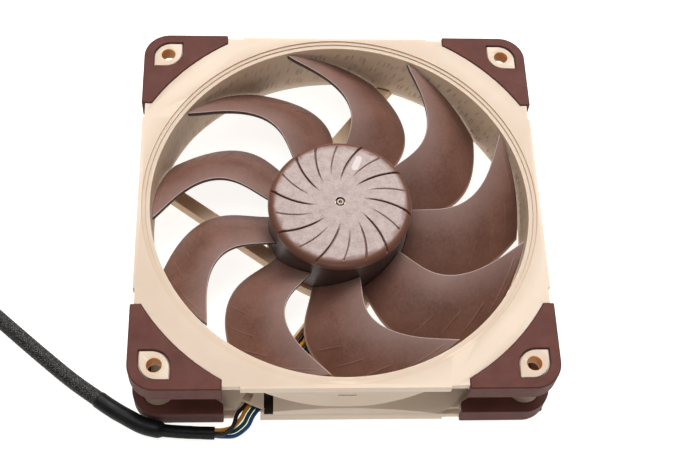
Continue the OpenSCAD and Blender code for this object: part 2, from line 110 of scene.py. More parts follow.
def make_stage():
    mesh = bpy.data.meshes.new("floor")
    bm = bmesh.new()
    bmesh.ops.create_grid(bm, x_segments=8, y_segments=8, size=FLOOR_HALF)
    bm.to_mesh(mesh)
    bm.free()
    floor = bpy.data.objects.new("floor", mesh)
    bpy.context.scene.collection.objects.link(floor)
    floor.location = (0, 0, -FLOOR_DROP)
    floor.data.materials.append(floor_material())
    world = bpy.data.worlds.new("studio")
    bpy.context.scene.world = world
    world.use_nodes = True
    shade_room(world.node_tree)
    bpy.context.scene.view_settings.view_transform = "Standard"
    for name, settings in LIGHTS.items():
        area_light(name, *settings)


def shade_room(tree):
    """A white room, brighter overhead and at the back than low down in front."""
    back = tree.nodes["Background"]
    back.inputs["Color"].default_value = (1.0, 0.985, 0.965, 1)
    place = tree.nodes.new("ShaderNodeTexCoord")
    lean = tree.nodes.new("ShaderNodeVectorMath")
    lean.operation = "DOT_PRODUCT"
    lean.inputs[1].default_value = ROOM_TILT
    tree.links.new(place.outputs["Generated"], lean.inputs[0])
    level = tree.nodes.new("ShaderNodeMapRange")
    level.inputs["From Min"].default_value = -0.3
    level.inputs["From Max"].default_value = 0.8
    level.inputs["To Min"].default_value, level.inputs["To Max"].default_value = ROOM_STRENGTH
    tree.links.new(lean.outputs["Value"], level.inputs["Value"])
    tree.links.new(level.outputs["Result"], back.inputs["Strength"])


# ---------------------------------------------------------------- node helpers

class Shader:
    """A material's node tree with short names for the nodes that are used here."""

    def __init__(self, name):
        self.material = bpy.data.materials.new(name)
        self.material.use_nodes = True
        self.tree = self.material.node_tree
        self.bsdf = self.tree.nodes["Principled BSDF"]
        self.place = self.node("ShaderNodeTexCoord").outputs["Object"]

    def node(self, kind, **settings):
        made = self.tree.nodes.new(kind)
        for key, value in settings.items():
            setattr(made, key, value)
        return made

    def link(self, source, target):
        self.tree.links.new(source, target)

    def math(self, operation, *values):
        made = self.node("ShaderNodeMath", operation=operation)
        for socket, value in zip(made.inputs, values):
            if isinstance(value, (int, float)):
                socket.default_value = value
            else:
                self.link(value, socket)
        return made.outputs[0]

    def times(self, a, b):
        return self.math("MULTIPLY", a, b)

    def above(self, length, limit_mm):
        """1 where a length in metres is over a limit in millimetres, 0 elsewhere."""
        return self.math("GREATER_THAN", length, limit_mm * MM)

    def below(self, length, limit_mm):
        """1 where a length in metres is under a limit in millimetres, 0 elsewhere."""
        return self.math("LESS_THAN", length, limit_mm * MM)

    def noise(self, size_mm, detail=3, rough=0.5, place=None):
        made = self.node("ShaderNodeTexNoise")
        made.inputs["Scale"].default_value = 1 / (size_mm * MM)
        made.inputs["Detail"].default_value = detail
        made.inputs["Roughness"].default_value = rough
        self.link(place or self.place, made.inputs["Vector"])
        return made.outputs["Fac"]

    def ramp(self, source, low, high, out_low=0.0, out_high=1.0):
        made = self.node("ShaderNodeMapRange")
        made.inputs["From Min"].default_value = low
        made.inputs["From Max"].default_value = high
        made.inputs["To Min"].default_value = out_low
        made.inputs["To Max"].default_value = out_high
        self.link(source, made.inputs["Value"])
        return made.outputs["Result"]

    def fade_in(self, length, span_mm):
        """0 below a span of lengths in millimetres, 1 above it."""
        return self.ramp(length, span_mm[0] * MM, span_mm[1] * MM)

    def fade_out(self, length, span_mm):
        """1 below a span of lengths in millimetres, 0 above it."""
        return self.ramp(length, span_mm[0] * MM, span_mm[1] * MM, 1.0, 0.0)

    def patches(self, size_mm, detail, out_low=0.0, out_high=1.0):
        """Soft patches between two values."""
        return self.ramp(self.noise(size_mm, detail), 0.3, 0.7, out_low, out_high)

    def stored(self, name):
        """A number that is kept on each point of the mesh."""
        return self.node("ShaderNodeAttribute", attribute_name=name).outputs["Fac"]

    def worn_edges(self):
        """1 on outward edges, 0 on flat faces."""
        return self.ramp(self.node("ShaderNodeNewGeometry").outputs["Pointiness"], 0.51, 0.62)

    def mix(self, factor, a, b):
        made = self.node("ShaderNodeMix", data_type="RGBA")
        for socket, value in zip((made.inputs[0], made.inputs[6], made.inputs[7]), (factor, a, b)):
            if isinstance(value, (int, float)):
                socket.default_value = value
            elif isinstance(value, tuple):
                socket.default_value = (*value, 1)
            else:
                self.link(value, socket)
        return made.outputs[2]

    def colour(self, source):
        self.link(source, self.bsdf.inputs["Base Color"])

    def roughness(self, source):
        self.link(source, self.bsdf.inputs["Roughness"])

    def bump(self, height, distance_mm):
        made = self.node("ShaderNodeBump")
        made.inputs["Strength"].default_value = 1
        made.inputs["Distance"].default_value = distance_mm * MM
        self.link(height, made.inputs["Height"])
        self.link(made.outputs["Normal"], self.bsdf.inputs["Normal"])

    def set(self, **values):
        for key, value in values.items():
            self.bsdf.inputs[key.replace("_", " ")].default_value = value

    def axes(self):
        split = self.node("ShaderNodeSeparateXYZ")
        self.link(self.place, split.inputs[0])
        return tuple(split.outputs)

    def polar(self):
        """Radius and angle round the rotor axis, and height, in metres and radians."""
        x, y, z = self.axes()
        radius = self.math("SQRT", self.math("ADD", self.times(x, x), self.times(y, y)))
        return radius, self.math("ARCTAN2", y, x), z


# ---------------------------------------------------------------- materials

# Where the housing's plastic changes its look, in millimetres
HOLE_XY = 52.5
HOLE_R = 2.3
TUNNEL_R = 56.3
TUNNEL_TOP = 23.9
STROKE_RADII = (54.5, 56.2)
STROKES_START = (6.2, 7.8)    # heights over which the strokes begin
STROKES_END = (20.5, 22.2)    # heights over which they end
INLET_STEPS = (57.3, 58.4)    # radii of the two steps round the inlet
INLET_SHADE_REACH = 0.13             # how far to each side of a step its line of painted shade reaches
INLET_SHADE_LOW = 23.6
# The box that holds the small window, whose walls get painted shade, from and to along X, Y and Z
WINDOW = ((-22.55, -19.85), (-59.3, -50), (4.75, 11.85))
# The strokes' cells: how many to a radian round the tunnel and to a metre up it, and their slant
STROKES_ROUND = 56
STROKES_UP = 190
STROKES_SLANT = 300

# Where the impeller's plastic changes its look, in millimetres
FACE_FADE = (18.5, 19.5)      # radii over which the painted reflection on the face gives way to the rim
FACE_LOW = 23.3               # the painted reflection on the face lies above this height
FACE_WANDER = 3.2             # how much its border wanders
GROOVES_R = 19.2              # the grooves get painted shade inside this radius
GROOVES_FADE = (22.6, 23.3)   # heights over which their painted shade fades out upwards
RIM_R = 21.6
RIM_LOW = 20.5
WALL_R = 21.25
WALL_FADE = (19.5, 21.5)      # heights over which the wall's painted shade fades out upwards


def floor_material():
    s = Shader("floor_paper")
    s.colour(s.mix(s.patches(90, 2), (0.42, 0.41, 0.39), (0.45, 0.44, 0.425)))
    s.set(Roughness=0.75, Specular_IOR_Level=0.2, Emission_Strength=0.88, Emission_Color=(1, 0.985, 0.96, 1))
    return s.material


def plastic(name, dark, light, rough=0.45):
    """Moulded plastic: slow mottling in its colour, fine grain in its surface, lighter edges."""
    s = Shader(name)
    pale = tuple(min(1, 1.25 * c + 0.02) for c in light)
    s.colour(s.mix(s.times(s.worn_edges(), 0.5), s.mix(s.patches(9, 4), dark, light), pale))
    s.roughness(s.patches(1.7, 4, rough - 0.05, rough + 0.07))
    s.bump(s.noise(0.35, 3), 0.01)
    return s.material


def metal(name, dark, light, rough=0.3, streak_mm=0.4):
    """Metal with fine streaks that are drawn out along Z."""
    s = Shader(name)
    stretch = s.node("ShaderNodeMapping")
    stretch.inputs["Scale"].default_value = (1, 1, 0.08)
    s.link(s.place, stretch.inputs["Vector"])
    streaks = s.noise(streak_mm, 4, 0.6, stretch.outputs[0])
    s.colour(s.mix(s.ramp(streaks, 0.3, 0.7), dark, light))
    s.roughness(s.ramp(streaks, 0.3, 0.7, rough - 0.08, rough + 0.12))
    s.bump(streaks, 0.006)
    s.set(Metallic=1.0)
    return s.material


def tunnel_strokes(s, radius, angle, z):
    """1 in the fine upright strokes that are scattered over the tunnel wall, 0 elsewhere."""
    place = s.node("ShaderNodeCombineXYZ")
    across = s.math("ADD", s.times(angle, STROKES_ROUND), s.times(z, STROKES_SLANT))
    s.link(across, place.inputs["X"])
    s.link(s.times(z, STROKES_UP), place.inputs["Y"])
    cells = s.node("ShaderNodeTexVoronoi", voronoi_dimensions="2D")
    cells.inputs["Scale"].default_value = 1
    cells.inputs["Randomness"].default_value = 0.85
    s.link(place.outputs[0], cells.inputs["Vector"])
    chosen = s.math("GREATER_THAN", cells.outputs["Color"], 0.5)
    stroke = s.times(s.ramp(cells.outputs["Distance"], 0.16, 0.30, 1.0, 0.0), chosen)
    wall = s.times(s.above(radius, STROKE_RADII[0]), s.below(radius, STROKE_RADII[1]))
    middle = s.times(s.fade_in(z, STROKES_START), s.fade_out(z, STROKES_END))
    return s.times(s.times(stroke, wall), middle)


def screw_hole_glow(s):
    """1 on the walls of the screw holes, which get a painted amber glow of bounced light, 0 elsewhere."""
    off = [s.math("SUBTRACT", s.math("ABSOLUTE", v), HOLE_XY * MM) for v in s.axes()[:2]]
    squares = s.math("ADD", s.times(off[0], off[0]), s.times(off[1], off[1]))
    return s.math("LESS_THAN", squares, (HOLE_R * MM) ** 2)


def window_shade(s):
    """1 inside the small window beside the wires' way out, which is filled with painted shade, 0 elsewhere.
    """
    inside = 1
    for value, (low, high) in zip(s.axes(), WINDOW):
        inside = s.times(inside, s.times(s.above(value, low), s.below(value, high)))
    return inside


def inlet_step_shade(s, radius, z):
    """1 on the risers of the two fine steps round the inlet, where a fine line of painted shade goes, 0
    elsewhere.
    """
    lines = [s.below(s.math("ABSOLUTE", s.math("SUBTRACT", radius, r * MM)), INLET_SHADE_REACH) for r in INLET_STEPS]
    return s.times(s.math("ADD", *lines), s.above(z, INLET_SHADE_LOW))


def housing_plastic(name, dark, light):
    """Plastic that lets some light through. The screw holes get a painted amber glow of light bounced inside
    them, the tunnel painted warm light over faint strokes, the risers of the steps round the inlet a fine
    line of painted shade, and the small window painted shade."""
    s = Shader(name)
    radius, angle, z = s.polar()
    strokes = tunnel_strokes(s, radius, angle, z)
    tunnel = s.times(s.below(radius, TUNNEL_R), s.below(z, TUNNEL_TOP))
    body = s.mix(s.times(s.worn_edges(), 0.35), s.mix(s.patches(14, 4), dark, light), (0.76, 0.65, 0.54))
    # Painted amber glow of light bounced inside the screw holes
    body = s.mix(s.times(screw_hole_glow(s), 0.8), body, (0.62, 0.33, 0.13))
    # Painted warm light, shining through the plastic, over the tunnel wall
    body = s.mix(s.times(tunnel, 0.9), body, (0.64, 0.485, 0.345))
    # A fine line of painted shade on the risers of the inlet's steps
    body = s.mix(s.times(inlet_step_shade(s, radius, z), 0.45), body, (0.52, 0.30, 0.15))
    # Painted shade inside the small window
    body = s.mix(window_shade(s), body, (0.035, 0.022, 0.015))
    s.colour(s.mix(s.times(strokes, 0.3), body, (0.30, 0.21, 0.14)))
    s.roughness(s.patches(2.2, 4, 0.5, 0.62))
    s.bump(s.math("SUBTRACT", s.times(s.noise(0.3, 3), 0.06), strokes), 0.26)
    s.set(Subsurface_Weight=0.35, Subsurface_Scale=0.003, Subsurface_Radius=(1.0, 0.7, 0.45),
          IOR=1.5, Specular_IOR_Level=0.3)
    return s.material


def impeller_plastic():
    """Brown plastic with a faint bloom. The blades carry a painted sheen towards the leading edge and painted
    warm light towards the trailing edge, with a painted pale glow along it; the blunt leading face has
    painted shade beside a painted highlight line. The hub's flat face has a pale painted reflection, and its
    grooves and its wall have painted shade."""
    s = Shader("brown_plastic")
    radius, _, z = s.polar()
    mottle = s.math("ADD", s.times(s.noise(8, 4), 0.5), s.times(s.noise(1.0, 4, 0.7), 0.5))
    body = s.mix(s.ramp(mottle, 0.38, 0.62), (0.103, 0.043, 0.030), (0.161, 0.073, 0.054))
    chord = s.stored("chord")
    # Painted sheen on the leading half of each blade; the hub takes a little of it
    body = s.mix(s.ramp(chord, 0.0, 0.5, 0.6, 0.0), body, (0.215, 0.140, 0.122))
    # Painted warm light, in a deeper brown, on the trailing half, and a painted pale glow along the trailing
    # edge
    body = s.mix(s.ramp(chord, 0.5, 1.0, 0.0, 0.55), body, (0.150, 0.064, 0.040))
    body = s.mix(s.ramp(chord, 0.965, 0.995, 0.0, 0.7), body, (0.44, 0.29, 0.20))
    edge = s.stored("edge")
    # Painted shade on the blunt leading face and the nose's underside, and a painted highlight line beside it
    body = s.mix(s.ramp(edge, 0.2, 0.8, 0.0, 0.85), body, (0.030, 0.013, 0.010))
    body = s.mix(s.ramp(edge, -0.2, -0.9, 0.0, 0.9), body, (0.46, 0.36, 0.33))
    # Painted shade in the hub's grooves
    grooves = s.times(s.fade_out(z, GROOVES_FADE), s.below(radius, GROOVES_R))
    body = s.mix(grooves, body, (0.048, 0.019, 0.013))
    # Painted shade on the hub's wall under its rim
    wall = s.times(s.below(radius, WALL_R), s.fade_out(z, WALL_FADE))
    body = s.mix(wall, body, (0.036, 0.012, 0.006))
    rim = s.times(s.below(radius, RIM_R), s.above(z, RIM_LOW))
    body = s.mix(rim, body, (0.115, 0.042, 0.025))
    # The hub's flat face: a pale painted reflection of the light, with grain and smudges in it
    grain = s.ramp(s.noise(0.5, 4, 0.75), 0.35, 0.65)
    smudge = s.ramp(s.noise(2.2, 5, 0.65), 0.35, 0.68)
    face = s.mix(grain, (0.155, 0.100, 0.088), (0.285, 0.203, 0.182))
    face = s.mix(s.times(smudge, 0.6), face, (0.335, 0.252, 0.228))
    wander = s.times(s.math("SUBTRACT", s.noise(4, 3), 0.5), FACE_WANDER * MM)
    flat = s.times(s.fade_out(s.math("ADD", radius, wander), FACE_FADE), s.above(z, FACE_LOW))
    s.colour(s.mix(flat, body, face))
    s.roughness(s.patches(1.2, 4, 0.36, 0.50))
    s.bump(s.noise(0.28, 3), 0.014)
    s.set(Sheen_Weight=0.10, Sheen_Roughness=0.4, Sheen_Tint=(0.9, 0.85, 0.9, 1), IOR=1.5)
    return s.material


def pad_silicone():
    """Brown silicone with a grey bloom on its flat faces; the rounded edges, found by how far the surface
    tilts, get painted shade in a dark red.
    """
    s = Shader("brown_silicone")
    tone = s.mix(s.patches(6, 4), (0.076, 0.022, 0.016), (0.096, 0.030, 0.023))
    normal = s.node("ShaderNodeSeparateXYZ")
    s.link(s.node("ShaderNodeNewGeometry").outputs["Normal"], normal.inputs[0])
    tilt = s.math("ABSOLUTE", normal.outputs["Z"])
    # Painted shade on the rounded edges, found by how far the surface tilts
    rounded = s.times(s.ramp(tilt, 0.05, 0.4), s.ramp(tilt, 0.90, 0.99, 1.0, 0.0))
    tone = s.mix(s.times(rounded, 0.75), tone, (0.050, 0.010, 0.006))
    specks = s.ramp(s.noise(0.5, 2), 0.74, 0.80)
    s.colour(s.mix(s.times(specks, 0.3), tone, (0.28, 0.20, 0.18)))
    s.roughness(s.patches(1.5, 4, 0.62, 0.78))
    s.bump(s.noise(0.22, 4), 0.014)
    s.set(Sheen_Weight=0.06, Sheen_Roughness=0.5, Sheen_Tint=(0.8, 0.75, 0.75, 1), IOR=1.42,
          Specular_IOR_Level=0.3)
    return s.material


def wire_skin(name, colour):
    s = Shader(name)
    deep = tuple(0.8 * c for c in colour)
    s.colour(s.mix(s.patches(1.5, 3), deep, colour))
    s.roughness(s.patches(0.8, 3, 0.28, 0.42))
    s.bump(s.noise(0.4, 2), 0.01)
    s.set(IOR=1.5, Specular_IOR_Level=0.3)
    return s.material


def shrink_skin():
    s = Shader("shrink_tube")
    s.colour(s.mix(s.patches(3, 4), (0.004, 0.004, 0.0045), (0.009, 0.009, 0.010)))
    s.roughness(s.patches(2.5, 4, 0.34, 0.48))
    s.bump(s.noise(1.4, 3), 0.05)
    s.set(IOR=1.48, Specular_IOR_Level=0.16)
    return s.material


def braid():
    """Black braid with a few pale specks; the sunk threads get painted shade."""
    s = Shader("braided_sleeve")
    tone = s.mix(s.ramp(s.noise(0.3, 3), 0.5, 0.64), (0.007, 0.007, 0.0075), (0.15, 0.148, 0.145))
    # Painted shade on the sunk threads of the weave
    s.colour(s.mix(s.ramp(s.stored("lift"), 0.15, 0.9), (0.002, 0.002, 0.002), tone))
    s.roughness(s.patches(0.2, 2, 0.42, 0.6))
    s.bump(s.noise(0.09, 2), 0.015)
    s.set(Sheen_Weight=0.02, Sheen_Roughness=0.5, Specular_IOR_Level=0.15)
    return s.material


def printed_mark():
    s = Shader("printed_mark")
    s.colour(s.mix(s.patches(0.4, 4), (0.42, 0.36, 0.355), (0.50, 0.44, 0.435)))
    s.roughness(s.patches(0.6, 3, 0.4, 0.6))
    return s.material


# ---------------------------------------------------------------- mesh helpers

def new_piece(name, points, faces, body, material, smooth=True):
    """Mesh object from points in millimetres, riding on a body."""
    mesh = bpy.data.meshes.new(name)
    mesh.from_pydata([(x * MM, y * MM, z * MM) for x, y, z in points], [], faces)
    mesh.validate()
    mesh.update()
    if smooth:
        mesh.shade_smooth()
    mesh.materials.append(material)
    made = bpy.data.objects.new(name, mesh)
    bpy.context.scene.collection.objects.link(made)
    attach(made, body)
    return made


def store(mesh, name, values):
    """Keeps one number for each point of a mesh, for its material to read."""
    mesh.attributes.new(name, "FLOAT", "POINT").data.foreach_set("value", values)


def skin_faces(rings, around, start=0):
    """Quads between rings of equal length, the points of each ring following one another."""
    faces = []
    for i in range(rings - 1):
        low, high = start + i * around, start + (i + 1) * around
        for k in range(around):
            n = (k + 1) % around
            faces.append((low + k, low + n, high + n, high + k))
    return faces


def capped_skin(rings, around, start=0):
    """The same quads, and a face over each end."""
    last = start + (rings - 1) * around
    ends = [tuple(range(start + around - 1, start - 1, -1)), tuple(range(last, last + around))]
    return skin_faces(rings, around, start) + ends


def turns(around):
    """Angles of the points round a ring, in radians."""
    return [2 * math.pi * k / around for k in range(around)]


def smooth(low, high, x):
    """0 at low and 1 at high, soft between them and level beyond them; low may be the larger one."""
    t = min(1, max(0, (x - low) / (high - low)))
    return t * t * (3 - 2 * t)


def smooth_route(points, step):
    """Catmull-Rom curve through the points, with about a step between its own points."""
    pts = [Vector(p) for p in points]
    pts = [2 * pts[0] - pts[1]] + pts + [2 * pts[-1] - pts[-2]]
    line = []
    for i in range(1, len(pts) - 2):
        a, b, c, d = pts[i - 1:i + 3]
        n = max(2, round((c - b).length / step))
        for j in range(n):
            t = j / n
            line.append(0.5 * (2 * b + (c - a) * t + (2 * a - 5 * b + 4 * c - d) * t * t
                               + (3 * b - a - 3 * c + d) * t ** 3))
    line.append(pts[-2].copy())
    return line


def frames_along(line):
    """For each point of a line: the point, a side vector and an upward one."""
    out = []
    for i, p in enumerate(line):
        ahead = (line[min(i + 1, len(line) - 1)] - line[max(i - 1, 0)]).normalized()
        side = Vector((0, 0, 1)).cross(ahead).normalized()
        out.append((p, side, ahead.cross(side)))
    return out


def lengths_along(line):
    """Distance of each point of a line from its start."""
    total = [0.0]
    for a, b in zip(line, line[1:]):
        total.append(total[-1] + (b - a).length)
    return total


# ---------------------------------------------------------------- lead: wires, shrink tube, sleeve, plug

# The lead's centre line from the bundled wires to the plug, in millimetres
ROUTE = [
    (-36.5, -63.8, 1.8), (-40, -63.7, 1.8), (-44.5, -63.5, 1.9), (-48, -63.3, 2.1),
    (-51.5, -63, 2.5), (-56.8, -61.6, 2.5), (-61.8, -58.9, 2.5), (-66, -56.3, 2.5),
    (-69.8, -53.6, 2.5), (-77.9, -47.6, 2.3), (-86.7, -40.2, 2.3), (-95.5, -32.5, 2.3),
    (-103, -25.8, 2.3), (-110, -19.4, 2.3), (-114.6, -16, 2.3), (-119.9, -14, 2.3),
    (-125.6, -13.5, 2.3), (-131.4, -14.5, 2.3), (-136.8, -17, 2.3), (-141.3, -20.9, 2.3),
    (-144.6, -25.8, 2.3), (-146.5, -31.4, 2.3), (-146.8, -37.4, 2.3), (-145.5, -43.1, 2.4),
    (-142.7, -48.3, 2.5), (-138.5, -52.7, 2.5), (-133.8, -56, 2.5),
]
# Points of the route where the shrink tube widens and where the sleeve comes out and ends
SHRINK_STEP = 4
SLEEVE_FROM = 8
SLEEVE_TO = 24
# Radii in millimetres
SLEEVE_R = 2.3
SHRINK_R = 2.5
NARROW_R = 1.8
WIRE_R = 0.6
# Shrink tubes, in millimetres but for the points round them
STEP_LENGTH = 1.6   # over which the narrow part widens
TUBE_LUMPS = 0.05   # unevenness of their skin
WIRE_LOBES = 0.06   # how far the four wires show through the narrow part
TUBE_AROUND = 40
TUBE_WALL = 0.35
TUBE_LIP = 0.8      # how far an open end runs back inside
TUBE_CURL = 0.02
TUBE_EDGE = 0.12    # width of the rounding at an open end
# Braid: points round it, threads round it, length of one crossing and depth of the weave
SLEEVE_AROUND = 96
BRAID_AROUND = 16
BRAID_PITCH = 1.05
BRAID_DEPTH = 0.16

# One wire along the strut: distance along the channel, across it, and height
WIRE_RUN = [(9, 0, 2.35), (14, 0, 2.35), (22, 0, 2.3), (32, 0, 2.3), (42, 0, 2.3), (52, -0.1, 2.3)]
WIRE_ACROSS = 11.6
WIRE_STEP = 1.35
WIRE_INTO_TUBE = 2.5
CHANNEL_ANGLE = math.radians(233)
# The free stretch of each wire, from the channel's end to the shrink tube
WIRES = {
    "black": ((-28, -55.6, 2.1), (-30.2, -58.6, 2.9), (-31.2, -62.2, 3.4), (-33.6, -64.4, 2.9)),
    "yellow": ((-27.2, -56.3, 2.1), (-29.1, -59.4, 1.7), (-31.3, -62, 1.9), (-34.2, -63.1, 2.3)),
    "green": ((-26.1, -57.1, 2.1), (-28.3, -60.6, 0.8), (-31.2, -62.9, 0.7), (-34.3, -63.3, 1.1)),
    "blue": ((-25, -57.9, 2), (-27.2, -61.6, 0.9), (-30.6, -64.2, 0.7), (-34.2, -64.6, 1.1)),
}
# Where each wire lies in the shrink tube: how far sideways and upwards of its middle
BUNDLE = {"black": (0.62, 0.62), "yellow": (-0.62, 0.62), "green": (-0.62, -0.62), "blue": (0.62, -0.62)}
WIRE_COLOURS = {
    "black": (0.006, 0.006, 0.0065),
    "yellow": (0.62, 0.26, 0.010),
    "green": (0.004, 0.065, 0.042),
    "blue": (0.003, 0.065, 0.18),
}


def along_channel(x, y, z):
    """A point in the wire channel's own directions, turned to where the channel runs."""
    c, s = math.cos(CHANNEL_ANGLE), math.sin(CHANNEL_ANGLE)
    return Vector((x * c - y * s, x * s + y * c, z))


def make_wire(index, colour):
    """A smooth insulated wire from the circuit board to the shrink tube."""
    ahead = (Vector(ROUTE[1]) - Vector(ROUTE[0])).normalized()
    side = Vector((0, 0, 1)).cross(ahead).normalized()
    right, up = BUNDLE[colour]
    end = Vector(ROUTE[0]) + right * side + up * ahead.cross(side)
    route = [along_channel(x, y + WIRE_ACROSS + index * WIRE_STEP, z) for x, y, z in WIRE_RUN]
    route += [Vector(p) for p in WIRES[colour]] + [end, end + WIRE_INTO_TUBE * ahead]
    line = smooth_route(route, 0.8)
    curve = bpy.data.curves.new("lead_wire_" + colour, "CURVE")
    curve.dimensions = "3D"
    curve.bevel_depth = WIRE_R * MM
    curve.bevel_resolution = 5
    curve.use_fill_caps = True
    spline = curve.splines.new("POLY")
    spline.points.add(len(line) - 1)
    for point, place in zip(spline.points, line):
        point.co = (*(place * MM), 1)
    spline.use_smooth = True
    curve.materials.append(wire_skin("insulation_" + colour, WIRE_COLOURS[colour]))
    wire = bpy.data.objects.new("lead_wire_" + colour, curve)
    bpy.context.scene.collection.objects.link(wire)
    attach(wire, HOUSING)
    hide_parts("wire_" + colour)


def tube_points(line, radius, around):
    """Rings round a line; radius is a function of the distance along it and the angle round it."""
    points = []
    for (p, side, up), s in zip(frames_along(line), lengths_along(line)):
        points += [p + radius(s, a) * (math.cos(a) * side + math.sin(a) * up) for a in turns(around)]
    return points


def make_tube(name, line, radius, material):
    """Round tube with a wall: its open ends turn inwards and run back inside a little."""
    start, end = (line[1] - line[0]).normalized(), (line[-2] - line[-1]).normalized()
    places = [line[0] + start * TUBE_LIP, line[0] + start * TUBE_CURL, *line,
              line[-1] + end * TUBE_CURL, line[-1] + end * TUBE_LIP]
    frames = frames_along(line)
    frames = [frames[0]] * 2 + frames + [frames[-1]] * 2
    far = lengths_along(line)
    far = [0, 0] + far + [far[-1]] * 2
    points = []
    for i, place in enumerate(places):
        wall = TUBE_WALL if i < 2 or i >= len(places) - 2 else 0
        _, side, up = frames[i]
        for a in turns(TUBE_AROUND):
            points.append(place + (radius(far[i], a) - wall) * (math.cos(a) * side + math.sin(a) * up))
    piece = new_piece(name, points, skin_faces(len(places), TUBE_AROUND), HOUSING, material)
    bevel_edges(piece, TUBE_EDGE, 2, angle=50)
    return piece


def braid_lift(s, a):
    """Height of the weave, 0 to 1, where two families of threads cross over and under."""
    u = a * BRAID_AROUND / (2 * math.pi)
    v = s / BRAID_PITCH
    one, two = u + v, u - v
    over = (math.floor(one) + math.floor(two)) % 2 == 0
    across = (one if over else two) % 1.0
    onward = (two if over else one) % 1.0
    body = 1 - (2 * across - 1) ** 2 * 0.8
    return body * (0.55 + 0.45 * math.sin(math.pi * onward))


def make_sleeve(material):
    """Braided sleeve; it runs on inside the shrink tubes at both ends."""
    line = smooth_route(ROUTE[SHRINK_STEP:], 0.2)

    def radius(s, a):
        return SLEEVE_R - BRAID_DEPTH + BRAID_DEPTH * braid_lift(s, a)

    points = tube_points(line, radius, SLEEVE_AROUND)
    faces = capped_skin(len(line), SLEEVE_AROUND)
    sleeve = new_piece("braided_sleeve", points, faces, HOUSING, material)
    store(sleeve.data, "lift", [braid_lift(s, a) for s in lengths_along(line) for a in turns(SLEEVE_AROUND)])
    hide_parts("cable_sleeve")
    return sleeve, [tuple(p * MM) for p in line]


def make_lead():
    """Four wires, the stepped shrink tube over them, the braided sleeve, and the plug's end."""
    for index, colour in enumerate(WIRES):
        make_wire(index, colour)
    shrink = shrink_skin()
    route = smooth_route(ROUTE, 0.6)
    far = lengths_along(route)
    knots = [min(range(len(route)), key=lambda i: (route[i] - Vector(p)).length) for p in ROUTE]
    step_at = far[knots[SHRINK_STEP]]

    def shrunk(s, a):
        rise = smooth(step_at - STEP_LENGTH / 2, step_at + STEP_LENGTH / 2, s)
        lobes = WIRE_LOBES * math.cos(4 * a + 0.8) * (1 - rise)
        lumps = TUBE_LUMPS * noise.noise(Vector((s * 0.35, math.cos(a), math.sin(a))))
        return NARROW_R + (SHRINK_R - NARROW_R) * rise + lobes + lumps

    tube = make_tube("shrink_tube", route[:knots[SLEEVE_FROM] + 1], shrunk, shrink)
    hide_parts("heat_shrink")

    def even(s, a):
        return SHRINK_R + TUBE_LUMPS * noise.noise(Vector((s * 0.4, 3 + math.cos(a), math.sin(a))))

    end_tube = make_tube("plug_shrink_tube", route[knots[SLEEVE_TO]:], even, shrink)
    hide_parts("connector_shrink")
    leads = make_plug_leads()
    sleeve, path = make_sleeve(braid())


PLUG_DIRECTION = Vector((0.819, -0.574, 0))
PLUG_LEAD_R = 0.55
PLUG_LEAD_AROUND = 16
PIN_PITCH = 2.54
TUBE_PITCH = 1.15


def make_plug_leads():
    """Four short wires that fan out from the shrink tube into the plug."""
    across = Vector((0, 0, 1)).cross(PLUG_DIRECTION)
    base = Vector((ROUTE[-1][0], ROUTE[-1][1], 0))
    points, faces = [], []
    for i in range(4):
        near, far = (i - 1.5) * TUBE_PITCH, (i - 1.5) * PIN_PITCH
        # Distance from the tube's end, place sideways, and height
        run = [(-2, near, 2.5), (0, near, 2.5), (2, near, 2.5), (4.5, (near + far) / 2, 2.6), (7, far, 2.8),
               (8.5, far, 2.8), (9, far, 2.8)]
        places = [base + x * PLUG_DIRECTION + y * across + Vector((0, 0, z)) for x, y, z in run]
        line = smooth_route(places, 0.5)
        faces += capped_skin(len(line), PLUG_LEAD_AROUND, len(points))
        points += tube_points(line, lambda s, a: PLUG_LEAD_R, PLUG_LEAD_AROUND)
    material = wire_skin("insulation_lead", (0.014, 0.014, 0.015))
    leads = new_piece("plug_leads", points, faces, HOUSING, material)
    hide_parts("connector_leads")
    return leads


# ---------------------------------------------------------------- impeller

HUB_R = 21.5
HUB_TOP = 23.6
HUB_WALL_R = 21
HUB_IN_R = 19.2
HUB_BOTTOM = 5
HUB_ROOF = 21.9
RIM_FLAT_R = 19.3
RIM_LOW_Z = 21.1
HUB_AROUND = 1080
HUB_SHARP = 42   # degrees from which an edge is shown sharp
HUB_CHORD = 0.4  # the share of a blade's chord whose colour, with a little of the blades' painted sheen, the hub takes
FACE_RADII = [1.5, 1.75, 2.2, 3.5, 5, 6] + [6.5 + 0.32 * i for i in range(40)]
# The hub's skin under its rim, as radius and height: wall, foot, inside, boss and the insert's bore
HUB_PROFILE = [
    (21.45, 20.95), (21.1, 20.6), (HUB_WALL_R, 20.4), (HUB_WALL_R, 20.1), (HUB_WALL_R, 5.4), (20.9, 5.1),
    (20.7, HUB_BOTTOM), (HUB_IN_R, HUB_BOTTOM), (HUB_IN_R, HUB_ROOF), (4.6, HUB_ROOF), (4.6, 17.6),
    (2.8, 17.6), (2.8, 22.7), (1.5, 22.7), (1.5, 23.45),
]
# Each groove follows a circle: its centre when the groove points along X, and its radius
GROOVE_CENTRE = (9.67, -21.5)
GROOVE_R = 24
GROOVE_FIRST = 10          # degrees from X to the first groove
GROOVE_REACH = 9           # no groove strays further than this from its own axis
GROOVE_DEPTH = 0.85
PLAIN_MIDDLE = (6.2, 7.5)  # radii between which the grooves rise out of the plain middle
